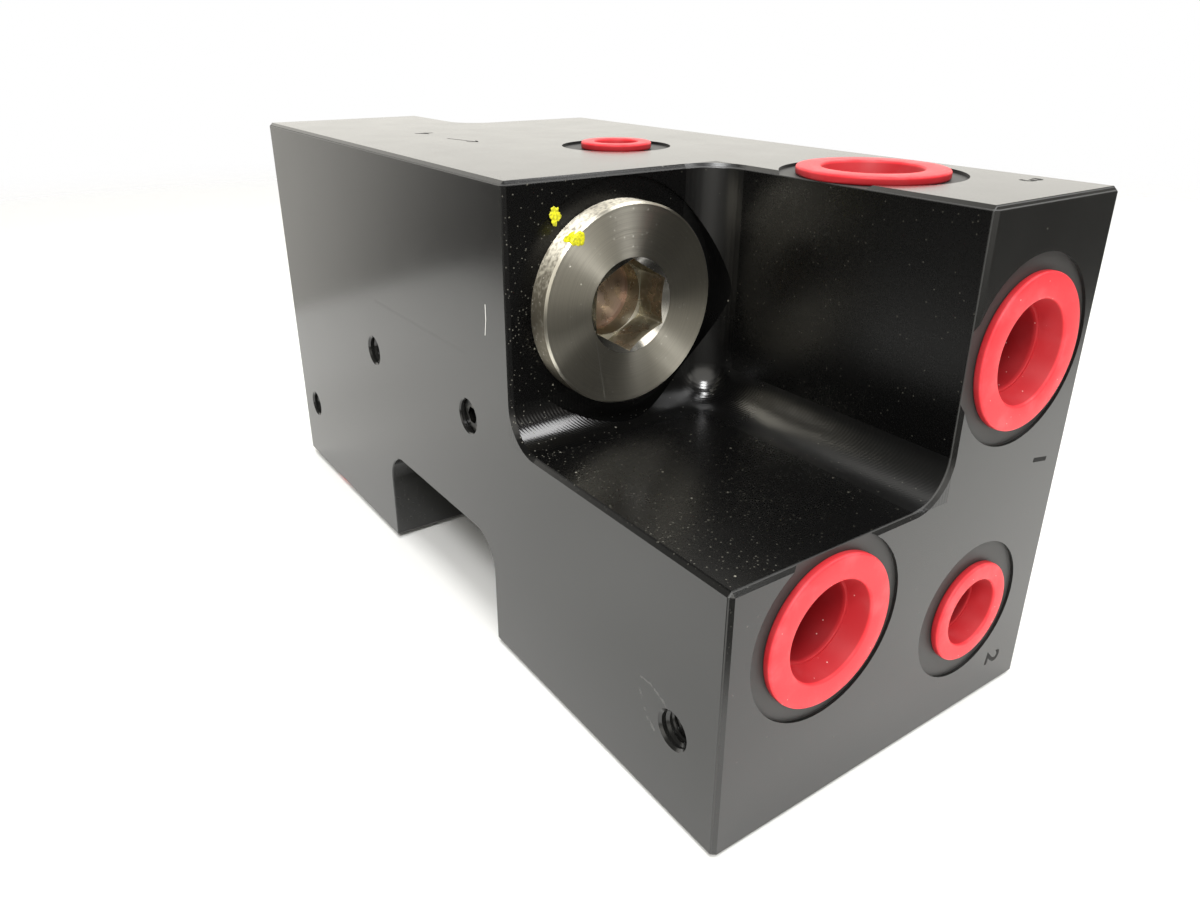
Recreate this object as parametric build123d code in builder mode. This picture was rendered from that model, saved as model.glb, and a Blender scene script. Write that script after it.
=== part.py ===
import math
import os

from build123d import *

os.makedirs("parts", exist_ok=True)

# All sizes in mm. Feature positions are given as on a block drawing: from the left face,
# the front face and the underside, or from the right, back and top faces where named so.

# Block
block_width = 101.6
block_length = 235.8
block_height = 121.4
edge_chamfer = 1.0
deburr = 0.3

# Rear right corner step
step_from_left = 53.9
step_length = 39.5
step_fillet = 9.5

# Front left top pocket
pocket_width = 59.0
pocket_depth = 74.6
pocket_drop = 59.4
pocket_fillet = 9.5

# Channel across the underside
channel_start = 86.4
channel_end = 152.4
channel_height = 30.5
channel_fillet = 9.5

# Ports: spotface, thread and protective cap, in three sizes
spotface_depth = 0.8
drill_point = 59.0
large_spotface_d = 41.0
large_mouth_d = 27.0
large_thread_d = 24.12
large_thread_depth = 18.0
large_flange_d = 33.6
large_opening_d = 22.7
large_ledge_d = 19.8
large_ledge_depth = 3.75
large_recess_d = 17.8
large_recess_depth = 13.5
large_gallery_d = 18.0
medium_spotface_d = 34.5
medium_mouth_d = 21.5
medium_thread_d = 18.63
medium_thread_depth = 16.0
medium_flange_d = 24.6
medium_opening_d = 16.6
medium_ledge_d = 14.8
medium_ledge_depth = 4.0
medium_recess_d = 13.2
medium_recess_depth = 11.5
medium_gallery_d = 11.0
small_spotface_d = 29.6
small_mouth_d = 17.2
small_thread_d = 14.95
small_thread_depth = 13.0
small_flange_d = 19.1
small_opening_d = 12.0
small_ledge_d = 10.6
small_ledge_depth = 3.2
small_recess_d = 9.4
small_recess_depth = 9.0
small_gallery_d = 9.0

# Protective caps, common sizes
flange_proud = 1.2
flange_thickness = 1.4
flange_round = 0.3
underside_round = 0.55
opening_bevel = 0.2
ledge_width = 0.45
cap_floor = 1.4
cap_wall = 1.7
cap_straight = 4.0
cap_clearance = 0.03

# Port positions
front_upper_from_right = 23.2
front_upper_from_top = 31.0
front_upper_reach = 150.0
front_lower_from_left = 26.6
front_lower_from_bottom = 43.9
front_lower_reach = 204.0
front_small_from_right = 26.5
front_small_from_bottom = 29.1
front_small_reach = 52.0
top_large_from_right = 25.9
top_large_from_front = 41.9
top_large_reach = 96.0
top_small_from_right = 43.0
top_small_from_front = 115.4
top_small_reach = 50.0
bottom_from_left = 17.8
bottom_from_back = 32.1
bottom_reach = 46.0

# Steel plug that closes the main bore in the pocket's back wall
bore_from_left = 30.1
bore_from_top = 29.8
bore_d = 36.0
bore_length = 126.0
bore_spotface_d = 57.5
bore_spotface_depth = 0.5
bore_thread_d = 39.2
bore_thread_depth = 24.0
seal_seat_d = 43.5
seal_seat_depth = 2.65
plug_head_d = 47.4
plug_head_height = 5.9
plug_rim_chamfer = 0.5
plug_shank_length = 19.0
plug_tip_chamfer = 1.5
plug_neck_d = 38.0
plug_neck_length = 3.6
plug_clearance = 0.04
hex_across_flats = 19.05
hex_turn = 28.0
hex_depth = 9.5
hex_sink_d = 22.6
pilot_d = 18.6
pilot_depth = 15.5
seal_section = 2.6
seal_clearance = 0.03

# Small plug that closes a cross drilling in the left face
gallery_from_front = 96.6
gallery_from_bottom = 61.5
gallery_mouth_d = 9.5
gallery_plug_d = 8.8
gallery_plug_sunk = 1.3
gallery_plug_length = 8.0
gallery_plug_chamfer = 0.4
gallery_plug_clearance = 0.02
gallery_hex_across_flats = 4.0
gallery_hex_depth = 4.2
cross_drill_d = 7.0
cross_drill_depth = 32.0

# Mounting holes in the left face
mount_hole_d = 7.94
mount_mouth_d = 9.1
mount_hole_depth = 20.0
near_hole_from_front = 13.8
near_hole_from_bottom = 22.5
mid_hole_from_front = 157.5
mid_hole_from_bottom = 61.8
far_hole_from_back = 13.4
far_hole_from_bottom = 23.0

# Where the block stands in the part's frame: the lowest cap flange rests on the ground
left = -block_width / 2
right = block_width / 2
front = -(block_length - flange_proud) / 2
back = front + block_length
under = flange_proud
top = under + block_height
pocket_floor = top - pocket_drop
pocket_right = left + pocket_width
pocket_back = front + pocket_depth
whole_turn = 360.0
same = 1e-3


# A plane whose x runs out from an axis and whose y runs along it, into the material
def section_plane(mouth, inward):
    along = Vector(*inward)
    outward = Vector(0, 0, 1) if abs(along.Z) < same else Vector(1, 0, 0)
    return Plane(origin=mouth, x_dir=outward, z_dir=outward.cross(along))


# Turn a closed outline of (radius, depth) points about the axis through the mouth
def turn(mouth, inward, outline, mode):
    with BuildSketch(section_plane(mouth, inward)) as profile:
        with BuildLine():
            Polyline(*outline, close=True)
        make_face()
    revolve(profile.sketch, axis=Axis(mouth, inward), revolution_arc=whole_turn, mode=mode)


# Drilled bottom of a hole: the last depth at full size and the depth of the point
def point_depth(diameter, depth):
    return depth + diameter / 2 / math.tan(math.radians(drill_point))


# Spotface, countersunk thread and gallery of one port
def cut_port(port):
    size = port["size"]
    mouth_r, thread_r, gallery_r = size["mouth_d"] / 2, size["thread_d"] / 2, size["gallery_d"] / 2
    thread_start = spotface_depth + mouth_r - thread_r
    thread_end = size["thread_depth"]
    gallery_start = thread_end + (thread_r - gallery_r) / math.tan(math.radians(drill_point))
    turn(port["mouth"], port["inward"], [
        (0, -pocket_fillet),
        (size["spotface_d"] / 2, -pocket_fillet),
        (size["spotface_d"] / 2, spotface_depth),
        (mouth_r, spotface_depth),
        (thread_r, thread_start),
        (thread_r, thread_end),
        (gallery_r, gallery_start),
        (gallery_r, port["reach"]),
        (0, point_depth(size["gallery_d"], port["reach"])),
    ], Mode.SUBTRACT)


# Blind tapped hole with a countersunk mouth
def cut_mount_hole(mouth):
    hole_r, mouth_r = mount_hole_d / 2, mount_mouth_d / 2
    turn(mouth, (1, 0, 0), [
        (0, -deburr),
        (mouth_r, -deburr),
        (mouth_r, 0),
        (hole_r, mouth_r - hole_r),
        (hole_r, mount_hole_depth),
        (0, point_depth(mount_hole_d, mount_hole_depth)),
    ], Mode.SUBTRACT)


# Edges of a solid that lie wholly in one of the block's outer faces
def outer_edges(edges):
    faces = [("X", left), ("X", right), ("Y", front), ("Y", back), ("Z", under), ("Z", top)]
    found = ShapeList()
    for edge in edges:
        box = edge.bounding_box()
        for name, value in faces:
            low, high = getattr(box.min, name), getattr(box.max, name)
            if abs(low - value) < same and abs(high - value) < same:
                found.append(edge)
                break
    return found


# Corners of a hexagon of the given size across its flats
def hexagon(across_flats, turned):
    with Locations((0, 0)):
        RegularPolygon(radius=across_flats / 2, side_count=6, major_radius=False, rotation=turned)


large = dict(
    spotface_d=large_spotface_d, mouth_d=large_mouth_d, thread_d=large_thread_d,
    thread_depth=large_thread_depth, gallery_d=large_gallery_d, flange_d=large_flange_d,
    opening_d=large_opening_d, ledge_d=large_ledge_d, ledge_depth=large_ledge_depth,
    recess_d=large_recess_d, recess_depth=large_recess_depth)
medium = dict(
    spotface_d=medium_spotface_d, mouth_d=medium_mouth_d, thread_d=medium_thread_d,
    thread_depth=medium_thread_depth, gallery_d=medium_gallery_d, flange_d=medium_flange_d,
    opening_d=medium_opening_d, ledge_d=medium_ledge_d, ledge_depth=medium_ledge_depth,
    recess_d=medium_recess_d, recess_depth=medium_recess_depth)
small = dict(
    spotface_d=small_spotface_d, mouth_d=small_mouth_d, thread_d=small_thread_d,
    thread_depth=small_thread_depth, gallery_d=small_gallery_d, flange_d=small_flange_d,
    opening_d=small_opening_d, ledge_d=small_ledge_d, ledge_depth=small_ledge_depth,
    recess_d=small_recess_d, recess_depth=small_recess_depth)

ports = dict(
    front_upper=dict(
        size=large, inward=(0, 1, 0), reach=front_upper_reach,
        mouth=(right - front_upper_from_right, front, top - front_upper_from_top)),
    front_lower=dict(
        size=large, inward=(0, 1, 0), reach=front_lower_reach,
        mouth=(left + front_lower_from_left, front, under + front_lower_from_bottom)),
    front_small=dict(
        size=medium, inward=(0, 1, 0), reach=front_small_reach,
        mouth=(right - front_small_from_right, front, under + front_small_from_bottom)),
    top_large=dict(
        size=large, inward=(0, 0, -1), reach=top_large_reach,
        mouth=(right - top_large_from_right, front + top_large_from_front, top)),
    top_small=dict(
        size=small, inward=(0, 0, -1), reach=top_small_reach,
        mouth=(right - top_small_from_right, front + top_small_from_front, top)),
    bottom=dict(
        size=large, inward=(0, 0, 1), reach=bottom_reach,
        mouth=(left + bottom_from_left, back - bottom_from_back, under)),
)

bore_mouth = (left + bore_from_left, pocket_back, top - bore_from_top)
gallery_mouth = (left, front + gallery_from_front, under + gallery_from_bottom)
mount_holes = [
    (left, front + near_hole_from_front, under + near_hole_from_bottom),
    (left, front + mid_hole_from_front, under + mid_hole_from_bottom),
    (left, back - far_hole_from_back, under + far_hole_from_bottom),
]

# Anodised block
with BuildPart() as manifold_block:
    step_x = left + step_from_left
    step_y = back - step_length
    with BuildSketch(Plane.XY.offset(under)) as plan:
        with BuildLine():
            Polyline((left, front), (right, front), (right, step_y), (step_x, step_y),
                     (step_x, back), (left, back), close=True)
        make_face()
        fillet(plan.vertices().sort_by_distance((step_x, step_y, under))[0], step_fillet)
    extrude(amount=block_height)
    # pocket, run out past the two faces it opens on
    with BuildSketch(Plane.XY.offset(pocket_floor)):
        with BuildLine():
            Polyline((left, front), (pocket_right, front), (pocket_right, pocket_back),
                     (left, pocket_back), close=True)
        make_face()
    extrude(amount=pocket_drop, mode=Mode.SUBTRACT)
    inner_corner = Vertex(pocket_right, pocket_back, pocket_floor)
    fillet([e for e in manifold_block.edges() if e.distance_to(inner_corner) < same], pocket_fillet)
    chamfer(outer_edges(manifold_block.edges()), edge_chamfer)
    # channel across the underside
    near_wall, far_wall = front + channel_start, front + channel_end
    with BuildSketch(Plane.YZ.offset(left)) as channel:
        with BuildLine():
            Polyline((near_wall - edge_chamfer, 0),
                     (near_wall - edge_chamfer, under),
                     (near_wall, under + edge_chamfer),
                     (near_wall, under + channel_height),
                     (far_wall, under + channel_height),
                     (far_wall, under + edge_chamfer),
                     (far_wall + edge_chamfer, under),
                     (far_wall + edge_chamfer, 0), close=True)
        make_face()
        fillet(channel.vertices().sort_by(Axis.Y)[-2:], channel_fillet)
    extrude(amount=block_width, mode=Mode.SUBTRACT)
    rims = ShapeList()
    for edge in outer_edges(manifold_block.edges()):
        box = edge.bounding_box()
        across = box.min.Y > near_wall - same and box.max.Y < far_wall + same
        if across and under + same < box.max.Z < under + channel_height + same:
            rims.append(edge)
    chamfer(rims, deburr)
    for port in ports.values():
        cut_port(port)
    for mouth in mount_holes:
        cut_mount_hole(mouth)
    # main bore behind the pocket, with the seal's seat in its spotface
    seat_end = bore_spotface_depth + seal_seat_depth
    bore_start = bore_thread_depth + (bore_thread_d - bore_d) / 2
    turn(bore_mouth, (0, 1, 0), [
        (0, -pocket_fillet),
        (bore_spotface_d / 2, -pocket_fillet),
        (bore_spotface_d / 2, bore_spotface_depth),
        (seal_seat_d / 2, bore_spotface_depth),
        (seal_seat_d / 2, seat_end),
        (bore_thread_d / 2, seat_end),
        (bore_thread_d / 2, bore_thread_depth),
        (bore_d / 2, bore_start),
        (bore_d / 2, bore_length),
        (0, bore_length),
    ], Mode.SUBTRACT)
    # cross drilling closed by the gallery plug
    plug_hole_r = gallery_plug_d / 2 + gallery_plug_clearance
    plug_hole_end = gallery_plug_sunk + gallery_plug_length
    turn(gallery_mouth, (1, 0, 0), [
        (0, -deburr),
        (gallery_mouth_d / 2, -deburr),
        (gallery_mouth_d / 2, 0),
        (plug_hole_r, gallery_mouth_d / 2 - plug_hole_r),
        (plug_hole_r, plug_hole_end),
        (cross_drill_d / 2, plug_hole_end),
        (cross_drill_d / 2, cross_drill_depth),
        (0, point_depth(cross_drill_d, cross_drill_depth)),
    ], Mode.SUBTRACT)
manifold_block.part.label = "manifold_block"
export_step(manifold_block.part, "parts/manifold_block.step")

# Steel plug of the main bore; depths are measured from the spotface it sits on
plug_seat = (bore_mouth[0], pocket_back + bore_spotface_depth, bore_mouth[2])
plug_shank_r = bore_thread_d / 2 - plug_clearance
with BuildPart() as bore_plug:
    turn(plug_seat, (0, 1, 0), [
        (0, -plug_head_height),
        (plug_head_d / 2 - plug_rim_chamfer, -plug_head_height),
        (plug_head_d / 2, plug_rim_chamfer - plug_head_height),
        (plug_head_d / 2, 0),
        (plug_neck_d / 2, 0),
        (plug_neck_d / 2, plug_neck_length),
        (plug_shank_r, plug_neck_length + plug_shank_r - plug_neck_d / 2),
        (plug_shank_r, plug_shank_length - plug_tip_chamfer),
        (plug_shank_r - plug_tip_chamfer, plug_shank_length),
        (0, plug_shank_length),
    ], Mode.ADD)
    plug_face = Vector(plug_seat[0], plug_seat[1] - plug_head_height, plug_seat[2])
    with BuildSketch(Plane(origin=plug_face, x_dir=(1, 0, 0), z_dir=(0, -1, 0))):
        hexagon(hex_across_flats, hex_turn)
    extrude(amount=-hex_depth, mode=Mode.SUBTRACT)
    sink_depth = (hex_sink_d - hex_across_flats) / 2
    turn(tuple(plug_face), (0, 1, 0), [
        (0, 0),
        (hex_sink_d / 2, 0),
        (hex_across_flats / 2, sink_depth / 2),
        (0, sink_depth / 2),
    ], Mode.SUBTRACT)
    turn(tuple(plug_face), (0, 1, 0), [
        (0, 0),
        (pilot_d / 2, 0),
        (pilot_d / 2, pilot_depth),
        (0, pilot_depth),
    ], Mode.SUBTRACT)
bore_plug.part.label = "bore_plug"
export_step(bore_plug.part, "parts/bore_plug.step")

# Rubber seal in its seat under the plug's head
seal_r = (seal_section - seal_clearance) / 2
seal_ring_r = (plug_neck_d + seal_seat_d) / 4
with BuildPart() as bore_plug_seal:
    with BuildSketch(section_plane(plug_seat, (0, 1, 0))):
        with Locations((seal_ring_r, seal_seat_depth / 2)):
            Circle(seal_r)
    revolve(axis=Axis(plug_seat, (0, 1, 0)), revolution_arc=whole_turn)
bore_plug_seal.part.label = "bore_plug_seal"
export_step(bore_plug_seal.part, "parts/bore_plug_seal.step")

# Small socket plug in the left face
plug_front = (left + gallery_plug_sunk, gallery_mouth[1], gallery_mouth[2])
with BuildPart() as gallery_plug:
    turn(plug_front, (1, 0, 0), [
        (0, 0),
        (gallery_plug_d / 2 - gallery_plug_chamfer, 0),
        (gallery_plug_d / 2, gallery_plug_chamfer),
        (gallery_plug_d / 2, gallery_plug_length - gallery_plug_chamfer),
        (gallery_plug_d / 2 - gallery_plug_chamfer, gallery_plug_length),
        (0, gallery_plug_length),
    ], Mode.ADD)
    with BuildSketch(Plane(origin=plug_front, x_dir=(0, -1, 0), z_dir=(-1, 0, 0))):
        hexagon(gallery_hex_across_flats, 0)
    extrude(amount=-gallery_hex_depth, mode=Mode.SUBTRACT)
gallery_plug.part.label = "gallery_plug"
export_step(gallery_plug.part, "parts/gallery_plug.step")

# One moulded protective cap for each port, pushed in until its flange is just above the spotface
flange_under = flange_thickness - flange_proud
for name, port in ports.items():
    size = port["size"]
    flange_r, opening_r = size["flange_d"] / 2, size["opening_d"] / 2
    ledge_r, ledge_y = size["ledge_d"] / 2, size["ledge_depth"] - flange_proud
    recess_r, recess_y = size["recess_d"] / 2, size["recess_depth"] - flange_proud
    body_r = size["thread_d"] / 2 - cap_clearance
    tip_y = recess_y + cap_floor
    with BuildPart() as cap:
        with BuildSketch(section_plane(port["mouth"], port["inward"])) as half:
            with BuildLine():
                Polyline(
                    (0, recess_y),
                    (recess_r, recess_y),
                    (ledge_r - ledge_width, ledge_y),
                    (ledge_r, ledge_y),
                    (opening_r, -flange_proud),
                    (flange_r, -flange_proud),
                    (flange_r, flange_under),
                    (body_r, flange_under),
                    (body_r, cap_straight),
                    (recess_r + cap_wall, tip_y),
                    (0, tip_y), close=True)
            make_face()
            for deep, radius in ((-flange_proud, flange_round), (flange_under, underside_round)):
                fillet(half.vertices().sort_by_distance((flange_r, deep, 0))[0], radius)
            rim = half.vertices().sort_by_distance((opening_r, -flange_proud, 0))[0]
            chamfer(rim, opening_bevel)
        revolve(axis=Axis(port["mouth"], port["inward"]), revolution_arc=whole_turn)
    cap.part.label = name + "_cap"
    export_step(cap.part, "parts/" + name + "_cap.step")
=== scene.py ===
import math
import random

import bmesh
import bpy
from mathutils import Matrix, Vector


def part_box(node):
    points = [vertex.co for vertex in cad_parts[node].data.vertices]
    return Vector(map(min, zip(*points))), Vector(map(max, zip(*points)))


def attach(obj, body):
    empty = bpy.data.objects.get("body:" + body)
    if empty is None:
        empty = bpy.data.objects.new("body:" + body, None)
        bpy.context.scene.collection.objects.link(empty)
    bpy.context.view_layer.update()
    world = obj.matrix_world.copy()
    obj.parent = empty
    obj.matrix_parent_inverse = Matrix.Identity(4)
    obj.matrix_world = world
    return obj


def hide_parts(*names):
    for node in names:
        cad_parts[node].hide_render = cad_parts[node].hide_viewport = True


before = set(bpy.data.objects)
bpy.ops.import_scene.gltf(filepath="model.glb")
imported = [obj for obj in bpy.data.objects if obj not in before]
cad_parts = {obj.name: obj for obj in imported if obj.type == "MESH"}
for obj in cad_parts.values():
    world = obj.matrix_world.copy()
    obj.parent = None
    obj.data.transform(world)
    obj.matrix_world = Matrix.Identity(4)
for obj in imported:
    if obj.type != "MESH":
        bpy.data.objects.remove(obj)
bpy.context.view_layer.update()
mm = 0.001
tolerance = 0.001  # mm
print("frame loaded")

blockLow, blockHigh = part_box("manifold_block")
plugLow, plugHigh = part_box("bore_plug")


# a point given in mm from the block's left face, front face and underside
def onBlock(fromLeft, fromFront, fromUnder):
    return blockLow + Vector((fromLeft, fromFront, fromUnder)) * mm


# sRGB hex to the linear colour that nodes take
def toLinear(hexColour):
    parts = [int(hexColour[i:i + 2], 16) / 255 for i in (1, 3, 5)]
    return [c / 12.92 if c <= 0.04045 else ((c + 0.055) / 1.055) ** 2.4 for c in parts] + [1]


# gives a node its inputs by name, or as in0, in1 and so on, each a value or a link
def setInputs(tree, node, **inputs):
    for name, value in inputs.items():
        key = int(name[2:]) if name[:2] == "in" and name[2:].isdigit() else name.replace("_", " ")
        if isinstance(value, bpy.types.NodeSocket):
            tree.links.new(value, node.inputs[key])
        else:
            node.inputs[key].default_value = value


# one node with its settings, then its inputs
def addNode(tree, kind, settings=None, **inputs):
    node = tree.nodes.new("ShaderNode" + kind)
    for name, value in (settings or {}).items():
        setattr(node, name, value)
    setInputs(tree, node, **inputs)
    return node


def calc(tree, operation, a, b=0.0, c=0.0):
    return addNode(tree, "Math", {"operation": operation}, in0=a, in1=b, in2=c).outputs[0]


def product(tree, first, *others):
    for other in others:
        first = calc(tree, "MULTIPLY", first, other)
    return first


def most(tree, first, *others):
    for other in others:
        first = calc(tree, "MAXIMUM", first, other)
    return first


def vectorCalc(tree, operation, a, b=(0, 0, 0), output=0):
    return addNode(tree, "VectorMath", {"operation": operation}, in0=a, in1=b).outputs[output]


def scaleBy(tree, vector, share):
    return addNode(tree, "VectorMath", {"operation": "SCALE"}, in0=vector, Scale=share).outputs[0]


def split(tree, vector):
    return addNode(tree, "SeparateXYZ", None, Vector=vector).outputs


# 0 to 1 as value goes from low to high
def ramp(tree, value, low, high, kind="SMOOTHSTEP"):
    return addNode(tree, "MapRange", {"interpolation_type": kind}, Value=value, From_Min=low,
                   From_Max=high).outputs[0]


# the same between two places given in mm
def rampMm(tree, value, ends, kind="SMOOTHSTEP"):
    low, high = (end * mm for end in ends)
    return ramp(tree, value, low, high, kind)


def blend(tree, share, a, b):
    return addNode(tree, "Mix", {"data_type": "FLOAT"}, in0=share, in2=a, in3=b).outputs[0]


def paint(tree, share, a, b):
    a, b = (toLinear(c) if isinstance(c, str) else c for c in (a, b))
    return addNode(tree, "Mix", {"data_type": "RGBA"}, in0=share, in6=a, in7=b).outputs[2]


# a value that swings either way with a pattern
def sway(tree, value, pattern, swing):
    return calc(tree, "MULTIPLY_ADD", calc(tree, "SUBTRACT", pattern, 0.5), swing, value)


# a mark drawn as a line between two points, full to a third of its width in mm
def lineMark(tree, place, start, end, width):
    run = end - start
    fromStart = vectorCalc(tree, "SUBTRACT", place, start)
    along = vectorCalc(tree, "DOT_PRODUCT", fromStart, run / run.length_squared, "Value")
    along = addNode(tree, "Clamp", None, Value=along).outputs[0]
    off = vectorCalc(tree, "DISTANCE", fromStart, scaleBy(tree, run, along), "Value")
    return ramp(tree, off, width * mm / 2, width * mm / 6)


# scattered specks: one in every cell of gap mm, of which a share is kept
def specks(tree, place, gap, share, size):
    cells = addNode(tree, "TexVoronoi", {"feature": "F1"}, Vector=place, Scale=1 / (gap * mm))
    dots = ramp(tree, cells.outputs["Distance"], size / gap / 2, size / gap / 4)
    lot = addNode(tree, "SeparateColor", None, Color=cells.outputs["Color"]).outputs[0]
    return product(tree, dots, calc(tree, "LESS_THAN", lot, share))


# a cloudy pattern with its size in mm and its levels of detail
def noise(tree, place, size, detail):
    return addNode(tree, "TexNoise", None, Vector=place, Scale=1 / (size * mm),
                   Detail=detail).outputs[0]


# a bump with its strength and its height in mm
def bumpFrom(tree, height, strength, distance):
    return addNode(tree, "Bump", None, Strength=strength, Distance=distance * mm,
                   Height=height).outputs[0]


def startMaterial(name):
    material = bpy.data.materials.new(name)
    material.use_nodes = True
    tree = material.node_tree
    place = addNode(tree, "TexCoord").outputs["Object"]
    return material, tree, tree.nodes["Principled BSDF"], place


# Block: aluminium bar milled all over and hard anodised black. The clear oxide over the dye mirrors
# its surroundings at low angles; the pocket's walls are duller and painted darker, a painted shade in
# the recess, and its swept fillets brighter.
block = {
    "outside": "#1d1d1c",
    # inside: painted shade, the pocket painted darker than the outside
    "inside": "#090909",
    # cut: painted lighter, a painted light on the ports' spotfaces against the caps' shade
    "cut": "#343433",  # the ports' spotfaces
    "roughOutside": 0.17,
    "roughInside": 0.28,
    "roughFillet": 0.34,
    "roughSwept": 0.18,  # the fillets near the pocket's inner corner, cut in one pass
    "roughSpotface": 0.55,
    "roughMarked": 0.85,  # dust and marks
    "ior": 1.62,  # sealed oxide
    "iorInside": 1.42,
    "spotface": 0.8,  # mm below the face
    "spotfaceNear": 0.1,  # mm either way
    "pocketRight": 59.0,  # mm from the left face
    "pocketBack": 74.6,  # mm from the front face
    "pocketFloor": 62.0,  # mm from the underside
    "pocketEdge": (0.4, 0.1),  # mm past its walls, where its finish starts and where it is full
    "plugSeat": 0.5,  # mm that the plug's spotface is sunk in the back wall
    "fillet": 9.5,
    "sweptBack": (9.0, 30.0),  # mm from the back wall, where the swept finish starts and stops fading
    "sweptFloor": (9.0, 32.0),
    "grain": (0.35, 2.0),  # mm and detail of the satin etch, drawn coarse enough to show
    "grainRough": 0.10,
    "grainHeight": 0.16,
    "mottle": (14.0, 3.0),  # mm and detail, as for the other cloudy patterns below
    "mottleShade": 0.35,
    "mottleRough": 0.06,
    "cutterStep": 0.9,  # mm between the cutter's marks along a fillet
    "cutterHeight": 0.5,
    "bump": (0.6, 0.02),  # strength and mm
}
pocketCorner = onBlock(block["pocketRight"], block["pocketBack"], block["pocketFloor"])

# Dust: pale, in the pocket, thickest beside the plug
dust = {
    "colour": "#a9a698",
    "byPlug": (22.0, 4.0),  # mm from the left face, from thin to thickest
    "nearFloor": 4.0,  # mm
    "floorShare": 0.30,
    "thin": 0.03,  # share of the cells with a speck
    "fine": (0.9, 0.55, 0.42),  # mm between cells, share of them where it is thickest, mm of a speck
    "coarse": (2.6, 0.35, 0.62),
    "fineShade": 0.45,
    "outsideShade": 0.18,
    "insideShade": 0.55,
    "shade": 0.65,
}


def makeDust(tree, place, x, z, inside):
    byPlug = ramp(tree, x, *(onBlock(across, 0, 0).x for across in dust["byPlug"]))
    low = ramp(tree, z, pocketCorner.z + dust["nearFloor"] * mm, pocketCorner.z)
    thick = most(tree, byPlug, product(tree, low, dust["floorShare"]))
    fine, coarse = (specks(tree, place, gap, blend(tree, thick, dust["thin"], share), size)
                    for gap, share, size in (dust["fine"], dust["coarse"]))
    fine = product(tree, fine, dust["fineShade"])
    shade = blend(tree, inside, dust["outsideShade"], blend(tree, byPlug, dust["insideShade"], 1.0))
    return product(tree, most(tree, fine, coarse), shade)


# Handling marks on the left face: a bright nick, rubs above the near hole and a faint level line.
# Each line has its start and end in mm from the front face and the underside, then its width.
leftMarks = {
    "nick": ((84.5, 93.0, 84.5, 89.5, 0.5), (84.5, 89.5, 85.2, 85.7, 0.4)),
    "rubs": ((24.5, 28.9, 21.0, 29.2, 0.8), (21.0, 29.2, 17.2, 27.8, 0.9),
             (17.2, 27.8, 15.4, 26.6, 1.0), (24.4, 25.4, 22.6, 21.8, 1.1),
             (21.6, 20.2, 19.6, 18.6, 1.3)),
    "level": ((96, 78.3, 153, 78.3, 1.4),),
    "bright": "#e9e9e4",
    "scuff": "#6d6d6a",
    "broken": (1.1, 3.0),
    "brokenRange": (0.35, 0.65),
    "rubShade": 0.55,
    "rubRough": 0.5,
    "levelRough": 0.05,
}


def makeMarks(tree, place, group):
    return most(tree, *(lineMark(tree, place, onBlock(0, y0, z0), onBlock(0, y1, z1), width)
                        for y0, z0, y1, z1, width in leftMarks[group]))


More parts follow.
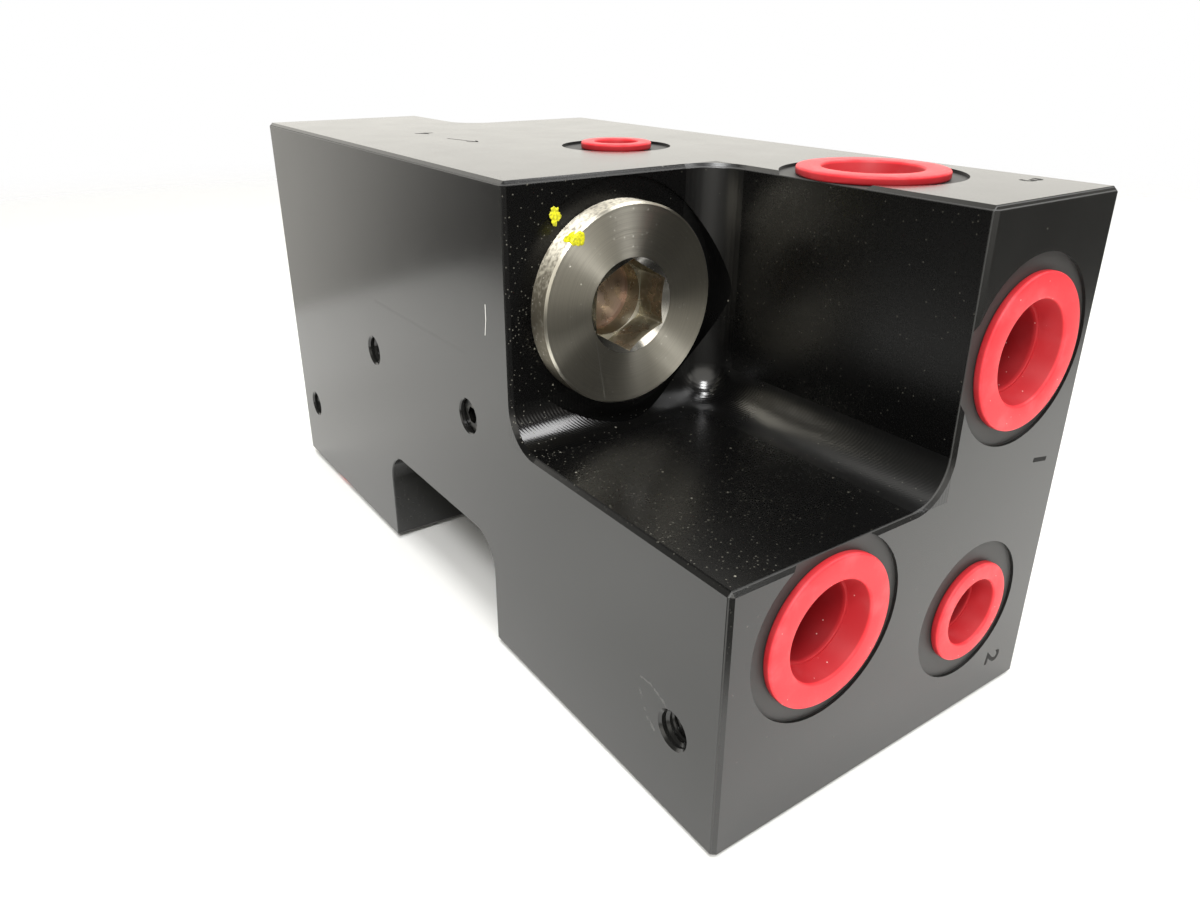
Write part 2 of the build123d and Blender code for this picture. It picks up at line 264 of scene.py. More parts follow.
def makeBlockFinish():
    material, tree, shader, place = startMaterial("blackAnodisedAluminium")
    x, y, z = split(tree, place)
    corner = pocketCorner
    start, full = (edge * mm for edge in block["pocketEdge"])
    seat = block["plugSeat"] * mm
    inside = product(tree, ramp(tree, x, corner.x + start, corner.x + full),
                     ramp(tree, y, corner.y + seat + start, corner.y + seat + full),
                     ramp(tree, z, corner.z - start, corner.z - full))
    reach = block["fillet"] * mm
    byRight = calc(tree, "GREATER_THAN", x, corner.x - reach)
    byBack = calc(tree, "GREATER_THAN", y, corner.y - reach)
    byFloor = calc(tree, "LESS_THAN", z, corner.z + reach)
    # a fillet lies within reach of two walls or more
    walls = calc(tree, "ADD", calc(tree, "ADD", byRight, byBack), byFloor)
    fillet = product(tree, calc(tree, "GREATER_THAN", walls, 1.5), inside)

    mottle = noise(tree, place, *block["mottle"])
    grain = noise(tree, place, *block["grain"])
    # the pocket's inside is painted darker, a painted shade in the recess
    colour = paint(tree, inside, block["outside"], block["inside"])
    grey = addNode(tree, "CombineXYZ", None, in0=mottle, in1=mottle, in2=mottle).outputs[0]
    colour = addNode(tree, "Mix", {"data_type": "RGBA", "blend_type": "MULTIPLY"},
                     in0=block["mottleShade"], in6=colour, in7=grey).outputs[2]
    dusty = makeDust(tree, place, x, z, inside)
    colour = paint(tree, product(tree, dusty, dust["shade"]), colour, dust["colour"])
    nick, rubs, level = (makeMarks(tree, place, group) for group in ("nick", "rubs", "level"))
    colour = paint(tree, nick, colour, leftMarks["bright"])
    broken = noise(tree, place, *leftMarks["broken"])
    rubs = product(tree, rubs, ramp(tree, broken, *leftMarks["brokenRange"]))
    colour = paint(tree, product(tree, rubs, leftMarks["rubShade"]), colour, leftMarks["scuff"])
    # the spotfaces keep the cutter's rings, so they mirror less; they are also painted lighter, a
    # painted light against the caps' shade and dark reflection
    near = block["spotfaceNear"] * mm
    sink = most(tree, calc(tree, "COMPARE", y, onBlock(0, block["spotface"], 0).y, near),
                calc(tree, "COMPARE", z, blockHigh.z - block["spotface"] * mm, near),
                calc(tree, "COMPARE", z, onBlock(0, 0, block["spotface"]).z, near))
    colour = paint(tree, sink, colour, block["cut"])

    rough = blend(tree, inside, block["roughOutside"], block["roughInside"])
    fromBack = ramp(tree, y, *(corner.y - far * mm for far in block["sweptBack"]))
    fromFloor = ramp(tree, z, *(corner.z + far * mm for far in block["sweptFloor"]))
    swept = blend(tree, most(tree, fromBack, fromFloor), block["roughSwept"], block["roughFillet"])
    rough = blend(tree, fillet, rough, swept)
    rough = blend(tree, sink, rough, block["roughSpotface"])
    rough = sway(tree, rough, grain, block["grainRough"])
    rough = sway(tree, rough, mottle, block["mottleRough"])
    marked = most(tree, dusty, nick, product(tree, rubs, leftMarks["rubRough"]))
    rough = blend(tree, marked, rough, block["roughMarked"])
    rough = calc(tree, "MULTIPLY_ADD", level, leftMarks["levelRough"], rough)

    turn = 2 * math.pi / (block["cutterStep"] * mm)
    steps = calc(tree, "SINE", product(tree, calc(tree, "ADD", x, y), turn))
    height = calc(tree, "MULTIPLY_ADD", product(tree, steps, fillet), block["cutterHeight"],
                  product(tree, grain, block["grainHeight"]))
    bump = bumpFrom(tree, height, *block["bump"])
    # the pocket was cut last and sealed less, so its walls mirror less
    inner = addNode(tree, "BsdfPrincipled")
    for half, ior in ((shader, block["ior"]), (inner, block["iorInside"])):
        setInputs(tree, half, Base_Color=colour, Roughness=rough, IOR=ior, Normal=bump)
    dull = product(tree, inside, calc(tree, "SUBTRACT", 1.0, fillet))
    both = addNode(tree, "MixShader", None, in0=dull, in1=shader.outputs[0], in2=inner.outputs[0])
    tree.links.new(both.outputs[0], tree.nodes["Material Output"].inputs["Surface"])
    return material


# Plug: bright turned steel. The cutter's rings spread light across them, so it shines in sectors.
plug = {
    "steel": "#e0dbcc",
    "socket": "#b0a995",  # broached hexagon, with preserving oil
    "oiled": "#8f8874",
    "drilled": "#a09a86",
    "bottom": "#c9b4a6",
    # bevel: a painted highlight brighter than the steel on the socket's lens facets and corner shelves,
    # and also the pale colour of the scratch and dirt specks
    "bevel": "#f4f1e8",
    "sideDarkening": "#6e6657",
    "rough": 0.38,
    "roughSide": 0.62,
    "roughSocket": (0.24, 0.40),
    "roughBevel": 0.14,
    "roughMarked": 0.7,
    "anisotropic": 0.92,
    "headRadius": 23.7,
    "sideFrom": 20.0,  # mm from the axis
    "socketReach": 12.2,  # mm from the axis to the socket's bevel
    "socketEdge": (0.6, 1.6),  # mm inside that
    "hexDepth": 9.5,
    "shelfNear": 0.15,  # mm either way
    "drilledFrom": (0.1, 0.3),  # mm below the hexagon's end
    "bottomFrom": (4.6, 4.8),
    # how squarely a surface faces the plug's axis
    "faceOn": (0.35, 0.55),
    "sideOn": (0.3, 0.1),
    "bevelOn": ((0.25, 0.32), (0.97, 0.92)),
    "ringStep": 0.32,  # mm between the cutter's rings, drawn coarser than they are
    "ringDetail": 3.0,
    "ringRange": (0.3, 0.7),
    "ringShade": (0.93, 1.03),
    "ringRough": 0.16,
    "darkeningNoise": (1.1, 6.0),
    "darkeningHeight": (15.0, 1.0),  # mm above the axis, from thin to thickest
    "darkeningLow": (0.40, 0.05),
    "darkeningHigh": (0.75, 0.50),
    "darkeningShade": 0.75,
    "stain": (3.2, 4.0),
    "stainRange": (0.35, 0.65),
    "scratch": ((20.1, 84.6), (22.6, 69.9), 0.22),  # mm from the left face and underside, and its width
    "dirt": (1.3, 0.25, 0.50),  # mm between cells, share of them and mm of a speck
    "dirtShade": 0.8,
    "bump": (0.3, 0.008),
}
plugCentre = Vector(((plugLow.x + plugHigh.x) / 2, plugLow.y, (plugLow.z + plugHigh.z) / 2))


def makePlugFinish():
    material, tree, shader, place = startMaterial("turnedSteel")
    fromAxis = vectorCalc(tree, "SUBTRACT", place, plugCentre)
    flat = vectorCalc(tree, "MULTIPLY", fromAxis, (1, 0, 1))
    radius = vectorCalc(tree, "LENGTH", flat, output="Value")
    y, z = split(tree, place)[1:]
    facing = split(tree, addNode(tree, "NewGeometry").outputs["True Normal"])[1]
    facing = calc(tree, "ABSOLUTE", facing)
    onFace = ramp(tree, facing, *plug["faceOn"])
    tangent = addNode(tree, "Mix", {"data_type": "VECTOR"}, in0=onFace, in4=(0, 1, 0), in5=flat)
    tangent = vectorCalc(tree, "NORMALIZE", tangent.outputs[1])

    rings = addNode(tree, "TexNoise", {"noise_dimensions": "1D"}, W=radius,
                    Scale=1 / (plug["ringStep"] * mm), Detail=plug["ringDetail"]).outputs[0]
    inSocket = rampMm(tree, radius, (plug["socketReach"] - edge for edge in plug["socketEdge"]))
    side = product(tree, ramp(tree, facing, *plug["sideOn"]),
                   calc(tree, "GREATER_THAN", radius, plug["sideFrom"] * mm))
    # the side is darkened in blotches, most towards the bottom and least at the top
    worn = ramp(tree, z, *(plugCentre.z + up * mm for up in plug["darkeningHeight"]))
    sideDarkening = ramp(tree, noise(tree, place, *plug["darkeningNoise"]), blend(tree, worn, *plug["darkeningLow"]),
                 blend(tree, worn, *plug["darkeningHigh"]))
    # the lens where the socket's bevel meets each flat is made smooth and painted bright, a painted
    # highlight
    rising, falling = plug["bevelOn"]
    lens = product(tree, ramp(tree, facing, *rising), ramp(tree, facing, *falling),
                   calc(tree, "LESS_THAN", radius, plug["socketReach"] * mm))
    # the drilled pilot below the hexagon is tinted by old oil
    deep = calc(tree, "SUBTRACT", y, plugLow.y + plug["hexDepth"] * mm)
    stain = ramp(tree, noise(tree, place, *plug["stain"]), *plug["stainRange"])
    socket = paint(tree, stain, plug["socket"], plug["oiled"])
    for part in ("drilled", "bottom"):
        socket = paint(tree, rampMm(tree, deep, plug[part + "From"]), socket, plug[part])
    # the corner shelves at the hexagon's end are painted bright, a painted highlight
    shelfGlint = product(tree, calc(tree, "COMPARE", deep, 0.0, plug["shelfNear"] * mm), onFace)
    socket = paint(tree, shelfGlint, socket, plug["bevel"])
    colour = paint(tree, inSocket, plug["steel"], socket)
    colour = paint(tree, lens, colour, plug["bevel"])
    colour = paint(tree, product(tree, sideDarkening, side, plug["darkeningShade"]), colour, plug["sideDarkening"])
    shade = blend(tree, ramp(tree, rings, *plug["ringRange"], "LINEAR"), *plug["ringShade"])
    colour = scaleBy(tree, colour, shade)
    *ends, width = plug["scratch"]
    toFace = Vector((0, plugLow.y - blockLow.y, 0))
    start, end = (onBlock(across, 0, up) + toFace for across, up in ends)
    scratch = lineMark(tree, place, start, end, width)
    dirt = specks(tree, place, *plug["dirt"])
    pale = most(tree, product(tree, dirt, plug["dirtShade"]), scratch)
    colour = paint(tree, pale, colour, plug["bevel"])

    rough = blend(tree, side, plug["rough"], plug["roughSide"])
    rough = sway(tree, rough, rings, plug["ringRough"])
    rough = blend(tree, inSocket, rough, blend(tree, stain, *plug["roughSocket"]))
    rough = blend(tree, lens, rough, plug["roughBevel"])
    rough = blend(tree, most(tree, scratch, dirt), rough, plug["roughMarked"])
    setInputs(tree, shader, Base_Color=colour, Metallic=1.0, Roughness=rough,
              Anisotropic=plug["anisotropic"], Tangent=tangent,
              Normal=bumpFrom(tree, rings, *plug["bump"]))
    return material


# Caps: low density polyethylene, injection moulded, slightly waxy and a little see-through
cap = {
    "red": "#f03840",
    "worn": "#f4565c",
    # deep: the painted shade colour in the cup
    "deep": "#7d0710",
    "dust": "#f0d9d3",
    "cloud": (6.0, 3.0),
    "cloudRange": (0.45, 0.85),
    "sunk": (-1.0, -0.5),  # mm below the block's face, where the cup starts
    "sunkShade": 0.64,
    "floor": (4.0, 4.9),
    "floorShade": 0.24,
    "fine": (1.1, 0.07, 0.26),  # dust: mm between cells, share of them and mm of a speck
    "coarse": (2.4, 0.22, 0.34),
    "dustShade": 0.75,
    "rough": 0.42,
    "roughCup": 0.6,
    "ior": 1.51,
    "specular": 0.28,
    "through": 0.12,  # how much light goes in
    "throughReach": (1.0, 0.25, 0.2),
    "throughDepth": 1.2,
    "texture": (0.5, 3.0),  # mm and detail of the mould's spark finish
    "textureRough": 0.16,
    "bump": (0.3, 0.02),
}


def makeCapFinish():
    material, tree, shader, place = startMaterial("redPolyethylene")
    cloud = ramp(tree, noise(tree, place, *cap["cloud"]), *cap["cloudRange"])
    colour = paint(tree, cloud, cap["red"], cap["worn"])
    # the cup is painted darker with depth below the face, a painted shade in the recess, darkest on its
    # floor
    y, z = split(tree, place)[1:]
    fromFront = calc(tree, "SUBTRACT", y, blockLow.y)
    fromUnder = calc(tree, "SUBTRACT", z, blockLow.z)
    fromTop = calc(tree, "SUBTRACT", blockHigh.z, z)
    below = calc(tree, "MINIMUM", calc(tree, "MINIMUM", fromFront, fromUnder), fromTop)
    cupShade = product(tree, rampMm(tree, below, cap["sunk"], "LINEAR"), cap["sunkShade"])
    cupFloorShade = product(tree, rampMm(tree, below, cap["floor"]), cap["floorShade"])
    sunk = calc(tree, "ADD", cupShade, cupFloorShade)
    colour = paint(tree, sunk, colour, cap["deep"])
    specked = most(tree, specks(tree, place, *cap["coarse"]), specks(tree, place, *cap["fine"]))
    colour = paint(tree, product(tree, specked, cap["dustShade"]), colour, cap["dust"])
    texture = noise(tree, place, *cap["texture"])
    rough = sway(tree, cap["rough"], texture, cap["textureRough"])
    rough = blend(tree, sunk, rough, cap["roughCup"])
    setInputs(tree, shader, Base_Color=colour, Roughness=rough, IOR=cap["ior"],
              Specular_IOR_Level=cap["specular"], Normal=bumpFrom(tree, texture, *cap["bump"]),
              Subsurface_Weight=cap["through"], Subsurface_Radius=cap["throughReach"],
              Subsurface_Scale=cap["throughDepth"] * mm)
    return material


# Gallery plug: black oxide steel, dark and oily, lighter where the broach rubbed it
gallery = {
    "dark": "#262625",
    "rubbed": "#5b5a56",
    "cloud": (1.4, 4.0),
    "cloudRange": (0.42, 0.7),
    "rough": (0.22, 0.42),
    "bump": (0.3, 0.02),
}


def makeGalleryFinish():
    material, tree, shader, place = startMaterial("blackOxideSteel")
    cloud = noise(tree, place, *gallery["cloud"])
    colour = paint(tree, ramp(tree, cloud, *gallery["cloudRange"]), gallery["dark"], gallery["rubbed"])
    setInputs(tree, shader, Base_Color=colour, Metallic=1.0,
              Roughness=blend(tree, cloud, *gallery["rough"]),
              Normal=bumpFrom(tree, cloud, *gallery["bump"]))
    return material


# Seal: moulded nitrile rubber, matt black
seal = {
    "black": "#101010",
    "bloom": "#1d1d1c",
    "cloud": (0.8, 3.0),
    "rough": (0.5, 0.7),
}


def makeSealFinish():
    material, tree, shader, place = startMaterial("nitrileRubber")
    cloud = noise(tree, place, *seal["cloud"])
    setInputs(tree, shader, Base_Color=paint(tree, cloud, seal["black"], seal["bloom"]),
              Roughness=blend(tree, cloud, *seal["rough"]))
    return material


def giveMaterial(node, material):
    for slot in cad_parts[node].material_slots:
        slot.material = material


blockFinish = makeBlockFinish()
capFinish = makeCapFinish()
giveMaterial("manifold_block", blockFinish)
giveMaterial("bore_plug", makePlugFinish())
giveMaterial("bore_plug_seal", makeSealFinish())
giveMaterial("gallery_plug", makeGalleryFinish())
print("finishes given")


# hands a finished bmesh to the scene as a piece of the block, with sharp edges from so many degrees
def makePiece(bm, name, material, sharpFrom=40):
    bmesh.ops.remove_doubles(bm, verts=bm.verts, dist=tolerance * mm / 2)
    bmesh.ops.recalc_face_normals(bm, faces=bm.faces)
    mesh = bpy.data.meshes.new(name)
    bm.to_mesh(mesh)
    bm.free()
    mesh.shade_smooth()
    mesh.set_sharp_from_angle(angle=math.radians(sharpFrom))
    mesh.materials.append(material)
    piece = bpy.data.objects.new(name, mesh)
    bpy.context.scene.collection.objects.link(piece)
    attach(piece, "root")
    return piece


# Caps: a flange that lies on the spotface and a tapered, stepped cup that holds in the port's thread.
# Diameters in mm, with depths from the block's face.
capSizes = {
    "large": {"flange": 33.6, "opening": 22.7, "ledge": 19.8, "ledgeDepth": 3.75, "recess": 17.8,
              "recessDepth": 13.5, "body": 24.06},
    "medium": {"flange": 24.6, "opening": 16.6, "ledge": 14.8, "ledgeDepth": 4.0, "recess": 13.2,
               "recessDepth": 11.5, "body": 18.57},
    "small": {"flange": 19.1, "opening": 12.0, "ledge": 10.6, "ledgeDepth": 3.2, "recess": 9.4,
              "recessDepth": 9.0, "body": 14.89},
}
capMould = {
    "proud": 1.2,  # mm above the face
    "seat": 0.77,  # mm below the face, just off the spotface
    "ledge": 0.6,
    "straight": 4.0,
    "wall": 1.7,
    "floor": 1.4,
    "rim": 0.55,  # roundings, mm
    "lip": 0.4,
    "inner": 0.25,
    "rounds": 3,  # faces across a rounding
    "steps": 128,
    "sharpFrom": 35,
}
capPlaces = {
    "front_upper_cap": ("large", "front"),
    "front_lower_cap": ("large", "front"),
    "front_small_cap": ("medium", "front"),
    "top_large_cap": ("large", "top"),
    "top_small_cap": ("small", "top"),
    "bottom_cap": ("large", "bottom"),
}


# rounds the edges of one ring, given by its radius and its depth below the face, in mm
def roundRing(bm, radius, depth, rounding):
    ring = [edge for edge in bm.edges
            if all(abs(v.co.z + depth) < tolerance and abs(v.co.xy.length - radius) < tolerance
                   for v in edge.verts)]
    bmesh.ops.bevel(bm, geom=ring, offset=rounding, affect="EDGES", segments=capMould["rounds"],
                    profile=0.5, material=-1)


def makeCap(node, size, face):
    made = capSizes[size]
    flange, opening, ledge, recess, body = (
        made[part] / 2 for part in ("flange", "opening", "ledge", "recess", "body"))
    inner = ledge - capMould["ledge"]
    depth, ledgeDepth = made["recessDepth"], made["ledgeDepth"]
    proud, seat, tip = -capMould["proud"], capMould["seat"], depth + capMould["floor"]
    outline = ((0, depth), (recess, depth), (inner, ledgeDepth), (ledge, ledgeDepth), (opening, proud),
               (flange, proud), (flange, seat), (body, seat), (body, seat + capMould["straight"]),
               (recess + capMould["wall"], tip), (0, tip))
    bm = bmesh.new()
    verts = [bm.verts.new((across, 0, -down)) for across, down in outline]
    edges = [bm.edges.new(pair) for pair in zip(verts, verts[1:])]
    bmesh.ops.spin(bm, geom=verts + edges, axis=(0, 0, 1), steps=capMould["steps"], angle=2 * math.pi,
                   use_merge=True)
    bmesh.ops.remove_doubles(bm, verts=bm.verts, dist=tolerance / 2)
    bmesh.ops.recalc_face_normals(bm, faces=bm.faces)
    roundRing(bm, flange, proud, capMould["rim"])
    roundRing(bm, opening, proud, capMould["lip"])
    roundRing(bm, flange, seat, capMould["rim"])
    roundRing(bm, inner, ledgeDepth, capMould["inner"])
    roundRing(bm, recess, depth, capMould["rim"])
    low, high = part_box(node)
    middle = (low + high) / 2
    # the mouth of the port and the turn about x that faces the cap out of it
    mouth, turn = {
        "front": ((middle.x, blockLow.y, middle.z), 90),
        "top": ((middle.x, middle.y, blockHigh.z), 0),
        "bottom": ((middle.x, middle.y, blockLow.z), 180),
    }[face]
    turned = Matrix.Translation(mouth) @ Matrix.Rotation(math.radians(turn), 4, "X")
    bmesh.ops.transform(bm, matrix=turned @ Matrix.Scale(mm, 4), verts=bm.verts)
    piece = makePiece(bm, node.replace("_cap", "_closure"), capFinish,
                      capMould["sharpFrom"])
    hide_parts(node)


for node, (size, face) in capPlaces.items():
    makeCap(node, size, face)
print("caps moulded")

# Threads of the three mounting holes: a helix whose crests stand inwards from the hole's wall
thread = {
    # mm from the front face and the underside
    "holes": {"near": (13.8, 22.5), "mid": (157.5, 61.8), "far": (222.4, 23.0)},
    "rootRadius": 4.0,  # mm, as are the next three
    "crestRadius": 3.36,
    "crestFlat": 0.16,
    "pitch": 1.25,
    "from": 0.7,  # mm below the left face
    "turns": 13,
    "steps": 40,  # in one turn
    "sharpFrom": 20,
}


def makeThread(name, fromFront, fromUnder):
    mouth = onBlock(thread["from"], fromFront, fromUnder)
    pitch, root, crest = (thread[k] * mm for k in ("pitch", "rootRadius", "crestRadius"))
    flat = thread["crestFlat"] * mm / 2
    bm = bmesh.new()
    outline = ((0, root), (pitch / 2 - flat, crest), (pitch / 2 + flat, crest), (pitch, root))
    corners = [bm.verts.new(mouth + Vector((along, 0, out))) for along, out in outline]
    edges = [bm.edges.new(pair) for pair in zip(corners, corners[1:])]
    steps = thread["steps"] * thread["turns"]
    bmesh.ops.spin(bm, geom=corners + edges, cent=mouth, axis=(1, 0, 0),
                   dvec=Vector((pitch / thread["steps"], 0, 0)), angle=2 * math.pi * thread["turns"],
                   steps=steps, use_merge=False)
    makePiece(bm, name + "_thread", blockFinish, thread["sharpFrom"])


for name, spot in thread["holes"].items():
    makeThread(name, *spot)
print("threads cut")

# Paint: a thick yellow torque mark, dabbed across the plug's rim and onto the wall beside it
dabs = {
    "yellow": "#e8e21c",
    "thin": "#b7b51f",
    "rough": 0.5,
    "thick": 0.22,  # mm at the middle
    "cloud": (0.7, 4.0),
    "cloudRange": (0.40, 0.62),
    "bump": (0.5, 0.06),
    "ragged": (0.04, 0.16),  # how far the outline strays, as shares of its radius
    "waves": (2, 3, 5, 7, 11),  # round the outline
    "phase": (0, 6.28),
    "around": 36,
    "across": 12,
    # each dab: mm from the left face and underside, half its width and height, and its tilt in degrees
    "wall": ((12.7, 113.9, 0.8, 1.4, 15), (13.3, 113.0, 1.05, 1.2, -30), (12.7, 111.8, 0.7, 0.9, 10),
             (12.0, 113.2, 0.5, 1.0, 25), (13.4, 114.4, 0.35, 0.6, -40)),
    "rim": ((15.1, 108.9, 1.9, 1.7, 20), (13.4, 109.5, 1.6, 1.2, -25), (12.2, 110.2, 1.0, 0.9, 40),
            (16.2, 108.4, 0.7, 1.2, 0), (13.6, 110.9, 0.9, 0.7, 15)),
}


def makePaint():
    material, tree, shader, place = startMaterial("yellowPaint")
    cloud = noise(tree, place, *dabs["cloud"])
    colour = paint(tree, ramp(tree, cloud, *dabs["cloudRange"]), dabs["thin"], dabs["yellow"])
    setInputs(tree, shader, Base_Color=colour, Roughness=dabs["rough"],
              Normal=bumpFrom(tree, cloud, *dabs["bump"]))
    return material


# wraps a point past the plug's rim onto the side of its head
def overRim(point, centre, face):
    away = Vector((point.x - centre.x, 0, point.z - centre.z))
    over = away.length - plug["headRadius"] * mm
    if over <= 0:
        return point
    out = away.normalized() * (plug["headRadius"] * mm + (face - point.y))
    return Vector((centre.x, face + over, centre.z)) + out


def makeDabs(name, blobs, face, wrapped, material, seed):
    chance = random.Random(seed)
    bm = bmesh.new()
    for across, up, wide, tall, tilt in blobs:
        verts = bmesh.ops.create_uvsphere(bm, u_segments=dabs["around"], v_segments=dabs["across"],
                                          radius=mm)["verts"]
        waves = [(chance.uniform(*dabs["ragged"]) / n ** 0.5, chance.uniform(*dabs["phase"]), n)
                 for n in dabs["waves"]]
        for vert in verts:
            angle = math.atan2(vert.co.y, vert.co.x)
            ragged = 1 + sum(size * math.sin(n * angle + start) for size, start, n in waves)
            vert.co.x, vert.co.y = vert.co.x * ragged, vert.co.y * ragged
        spot = onBlock(across, 0, up)
        upright = Matrix.Translation((spot.x, face, spot.z)) @ Matrix.Rotation(math.radians(90), 4, "X")
        tilted = upright @ Matrix.Rotation(math.radians(tilt), 4, "Z")
        sized = Matrix.Diagonal((wide, tall, dabs["thick"], 1))
        bmesh.ops.transform(bm, matrix=tilted @ sized, verts=verts)
    if wrapped:
        for vert in bm.verts:
            vert.co = overRim(vert.co, plugCentre, face)
    makePiece(bm, name, material)


paintFinish = makePaint()
makeDabs("paint_on_wall", dabs["wall"], onBlock(0, block["pocketBack"], 0).y, False, paintFinish, 4)
makeDabs("paint_on_plug", dabs["rim"], plugLow.y, True, paintFinish, 9)
print("paint dabbed")

# Stamps: plain port numbers and a flow arrow beside the ports, drawn as flat dark shapes on the faces,
# a painted shadow of stamped grooves with painted glints
stamps = {
    "height": 5.2,  # mm of a figure
    "capShare": 0.7,  # of the font's size
    "bold": 0.16,
    "lift": 0.02,  # mm above the face
    "dark": "#0a0a0a",
    "paintedGlint": "#4c4c49",
    "cloud": (0.5, 4.0),
    "cloudRange": (0.62, 0.72),
    "rough": 0.55,
    "specular": 0.2,
    "bump": (0.8, 0.05),
    # figure, face, mm from the left face, mm from the underside or the front face, turn in degrees
    "marks": (("1", "front", 92.4, 62.5, -100), ("2", "front", 90.1, 9.4, -100),
              ("3", "top", 94.0, 15.0, -95), ("4", "top", 29.0, 173.5, 80)),
    "arrow": ((28.1, 156.6), (31.1, 143.6)),  # mm from the left and front faces, tail then tip
    "arrowWide": 0.55,  # mm
    "arrowBarb": 3.4,
    "arrowSwing": 150,  # degrees
}


def makeStampFinish():
    material, tree, shader, place = startMaterial("stampPaintedShade")
    cloud = noise(tree, place, *stamps["cloud"])
    # the figures are painted dark as the shadow of stamped grooves, with lighter patches as painted
    # glints
    colour = paint(tree, ramp(tree, cloud, *stamps["cloudRange"]), stamps["dark"], stamps["paintedGlint"])
    setInputs(tree, shader, Base_Color=colour, Roughness=stamps["rough"],
              Specular_IOR_Level=stamps["specular"], Normal=bumpFrom(tree, cloud, *stamps["bump"]))
    return material


stampFinish = makeStampFinish()


# stands a flat mark, drawn in mm, on the front or the top face
def standOn(face, across, up, turn):
    if face == "front":
        base = Matrix.Translation(onBlock(across, -stamps["lift"], up))
        base = base @ Matrix.Rotation(math.radians(90), 4, "X")
    else:
        spot = onBlock(across, up, 0)
        base = Matrix.Translation((spot.x, spot.y, blockHigh.z + stamps["lift"] * mm))
    return base @ Matrix.Rotation(math.radians(turn), 4, "Z") @ Matrix.Scale(mm, 4)


def makeFigure(name, text, face, across, up, turn):
    curve = bpy.data.curves.new(name, "FONT")
    curve.body = text
    curve.size = stamps["height"] / stamps["capShare"]
    curve.align_x = "CENTER"
    curve.align_y = "CENTER"
    curve.offset = stamps["bold"]
    letter = bpy.data.objects.new(name + "_outline", curve)
    bpy.context.scene.collection.objects.link(letter)
    bpy.context.view_layer.update()
    flat = bpy.data.meshes.new_from_object(letter)
    bpy.data.objects.remove(letter)
    bm = bmesh.new()
    bm.from_mesh(flat)
    bmesh.ops.transform(bm, matrix=standOn(face, across, up, turn), verts=bm.verts)
    makePiece(bm, name, stampFinish)


for text, *where in stamps["marks"]:
    makeFigure("figure_" + text, text, *where)


def makeArrow():
    (x0, y0), (x1, y1) = stamps["arrow"]
    run = Vector((x1 - x0, y1 - y0))
    barb, swing = stamps["arrowBarb"], stamps["arrowSwing"]
    bm = bmesh.new()
    # a shaft from the tail, and two barbs that run back from the tip
    for length, turned, tip in ((run.length, 0, 0), (barb, swing, 1), (barb, -swing, 1)):
        bar = bmesh.ops.create_grid(bm, x_segments=8, y_segments=1, size=0.5)["verts"]
        shift = Matrix.Translation((0.5, 0, 0))
        sized = Matrix.Diagonal((length, stamps["arrowWide"], 1, 1)) @ shift
        start = Matrix.Translation((run.length * tip, 0, 0))
        laid = start @ Matrix.Rotation(math.radians(turned), 4, "Z") @ sized
        bmesh.ops.transform(bm, matrix=laid, verts=bar)
    turn = math.degrees(math.atan2(run.y, run.x))
    bmesh.ops.transform(bm, matrix=standOn("top", x0, y0, turn), verts=bm.verts)
    makePiece(bm, "arrow", stampFinish)


makeArrow()
print("stamps struck")

# White sheet under the block, tipped so that the block stands on its front edge and its lowest cap
sheet = {
    "size": 14.0,
    "colour": "#f4f4f2",
    "rough": 0.6,
    # where the sheet ends for mirrored rays, in mm along the frame's axes, from none to all
    "frontEdge": (-300, -215),
    "leftEdge": (-290, -215),
    "backEdge": (292, 268),  # on the middle line; this edge runs askew
    "backSlant": 0.38,
    "cornerEdge": (-265, -218),  # on the sum of both
    "fade": (1100, 500),  # for other rays
}
capLow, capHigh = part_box("bottom_cap")
bm = bmesh.new()
bmesh.ops.create_grid(bm, x_segments=1, y_segments=1, size=sheet["size"] / 2)
tip = math.atan2(blockLow.z - capLow.z, (capLow.y + capHigh.y) / 2 - blockLow.y)
frontLine = Matrix.Translation((0, blockLow.y, blockLow.z))
bmesh.ops.transform(bm, matrix=frontLine @ Matrix.Rotation(-tip, 4, "X"), verts=bm.verts)
sheetMesh = bpy.data.meshes.new("sheet")
bm.to_mesh(sheetMesh)
bm.free()
sheetObject = bpy.data.objects.new("sheet", sheetMesh)
bpy.context.scene.collection.objects.link(sheetObject)


def makeSheetFinish():
    material, tree, shader, place = startMaterial("whitePaper")
    x, y = split(tree, place)[:2]
    askew = calc(tree, "MULTIPLY_ADD", x, sheet["backSlant"], y)
    edges = product(tree, rampMm(tree, y, sheet["frontEdge"]), rampMm(tree, x, sheet["leftEdge"]),
                    rampMm(tree, askew, sheet["backEdge"]),
                    rampMm(tree, calc(tree, "ADD", x, y), sheet["cornerEdge"]))
    near = rampMm(tree, vectorCalc(tree, "LENGTH", place, output="Value"), sheet["fade"])
    mirrored = addNode(tree, "LightPath").outputs["Is Glossy Ray"]
    setInputs(tree, shader, Base_Color=toLinear(sheet["colour"]), Roughness=sheet["rough"],
              Alpha=blend(tree, mirrored, near, edges))
    return material


sheetMesh.materials.append(makeSheetFinish())

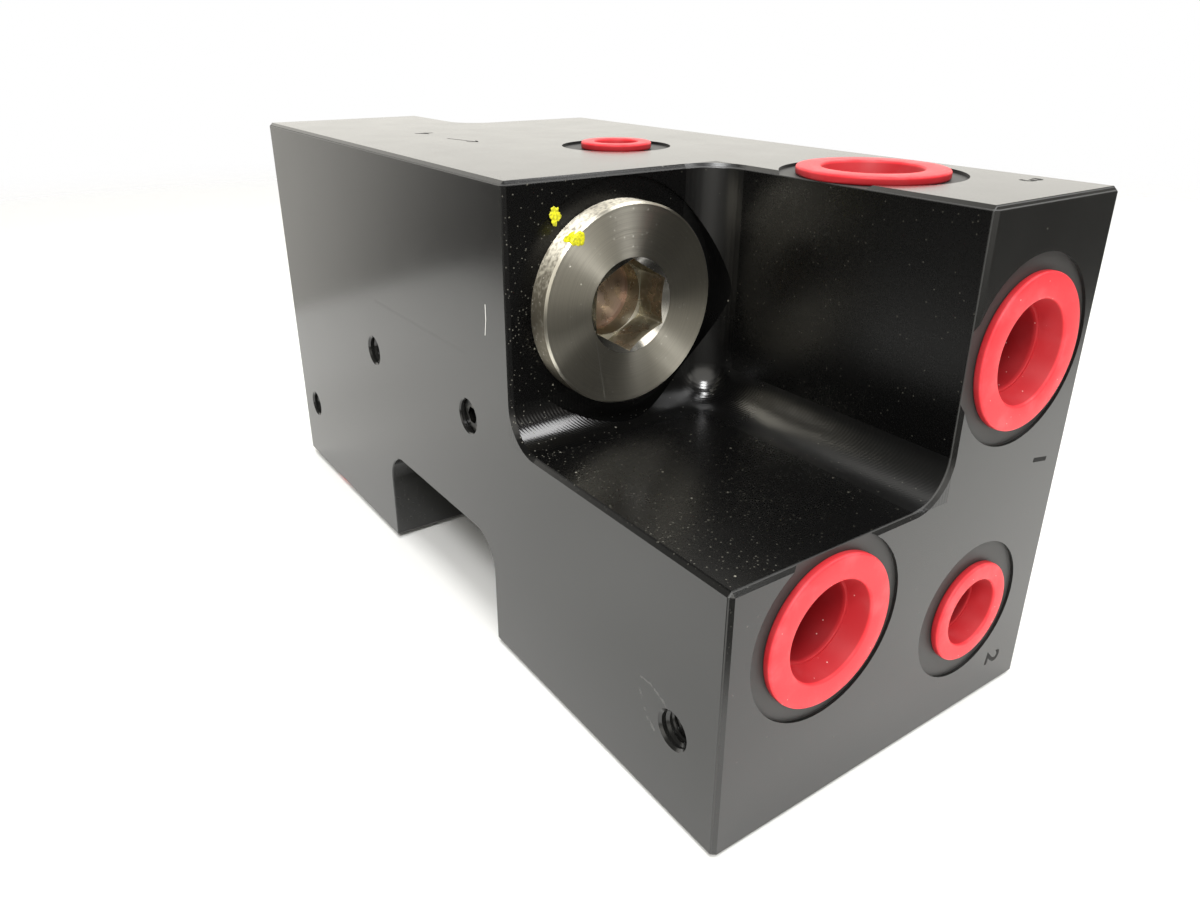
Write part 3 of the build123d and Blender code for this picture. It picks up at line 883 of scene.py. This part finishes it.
# Room: white behind the block, dim in front of it
room = {
    "bright": 1.35,
    "dim": 0.12,
    # windows behind the camera: direction, cosines of their edge and middle, and brightness
    "windows": (((-0.62, -0.70, 0.36), (0.74, 0.95), 1.3), ((0.19, -0.89, 0.41), (0.955, 0.985), 1.5)),
    "towards": (0.50, 0.80, 0.20),  # the middle of the white side
    "spread": (0.42, 0.62),
    "low": 0.80,  # how much of it is left below the horizon
    "horizon": (-0.03, 0.03),
    "colour": "#fffcf4",
    "seen": "#ffffff",  # what the camera sees
}
world = bpy.data.worlds.new("room")
bpy.context.scene.world = world
world.use_nodes = True
tree = world.node_tree
background = tree.nodes["Background"]
direction = addNode(tree, "TexCoord").outputs["Generated"]
towards = vectorCalc(tree, "DOT_PRODUCT", direction, Vector(room["towards"]).normalized(), "Value")
lit = blend(tree, ramp(tree, towards, *room["spread"]), room["dim"], room["bright"])
for at, spread, strength in room["windows"]:
    window = vectorCalc(tree, "DOT_PRODUCT", direction, Vector(at).normalized(), "Value")
    lit = calc(tree, "MULTIPLY_ADD", ramp(tree, window, *spread), strength, lit)
height = split(tree, direction)[2]
lit = product(tree, lit, blend(tree, ramp(tree, height, *room["horizon"]), room["low"], 1.0))
camera = addNode(tree, "LightPath").outputs["Is Camera Ray"]
tree.links.new(blend(tree, camera, lit, 1.0), background.inputs["Strength"])
tree.links.new(paint(tree, camera, room["colour"], room["seen"]), background.inputs["Color"])

# Softboxes overhead: azimuth from the back and height in degrees, distance and size in m, and watts
lamps = {
    "overhead": {"azimuth": -107, "height": 80, "away": 1.3, "size": 0.34, "watts": 8},
    "overLeft": {"azimuth": -136, "height": 50, "away": 1.3, "size": 0.32, "watts": 9},
    "overRight": {"azimuth": 132, "height": 52, "away": 1.3, "size": 0.50, "watts": 7},
}
for name, lamp in lamps.items():
    data = bpy.data.lights.new(name, "AREA")
    data.size = lamp["size"]
    data.energy = lamp["watts"]
    light = bpy.data.objects.new(name, data)
    turned, height = math.radians(lamp["azimuth"]), math.radians(lamp["height"])
    away = Vector((math.sin(turned) * math.cos(height), math.cos(turned) * math.cos(height),
                   math.sin(height)))
    light.location = away * lamp["away"]
    light.rotation_euler = away.to_track_quat("Z", "Y").to_euler()
    bpy.context.scene.collection.objects.link(light)
print("sheet, room and lamps made")

# Camera above the block's near left corner
cameraSetup = {
    "at": (-143.14, -210.08, 150.49),  # mm
    "azimuth": 35.067,  # degrees, as are the next two
    "down": 23.476,
    "roll": 0.195,
    "lens": 27.076,
    "sensor": 36,
    "shift": (-0.0006, -0.0199),
    "clipStart": 0.01,
}
turned = math.radians(cameraSetup["azimuth"])
down = math.radians(cameraSetup["down"])
ahead = Vector((math.sin(turned) * math.cos(down), math.cos(turned) * math.cos(down), -math.sin(down)))
side = Vector((math.cos(turned), -math.sin(turned), 0))
upward = side.cross(ahead)
view = Matrix((side, upward, -ahead)).transposed().to_4x4()
roll = Matrix.Rotation(math.radians(cameraSetup["roll"]), 4, "Z")
view = Matrix.Translation(Vector(cameraSetup["at"]) * mm) @ view @ roll
cameraData = bpy.data.cameras.new("camera")
cameraData.lens = cameraSetup["lens"]
cameraData.sensor_width = cameraSetup["sensor"]
cameraData.shift_x, cameraData.shift_y = cameraSetup["shift"]
cameraData.clip_start = cameraSetup["clipStart"]
cameraObject = bpy.data.objects.new("camera", cameraData)
cameraObject.matrix_world = view
bpy.context.scene.collection.objects.link(cameraObject)
bpy.context.scene.camera = cameraObject
bpy.context.scene.view_settings.view_transform = "Standard"
print("camera set")
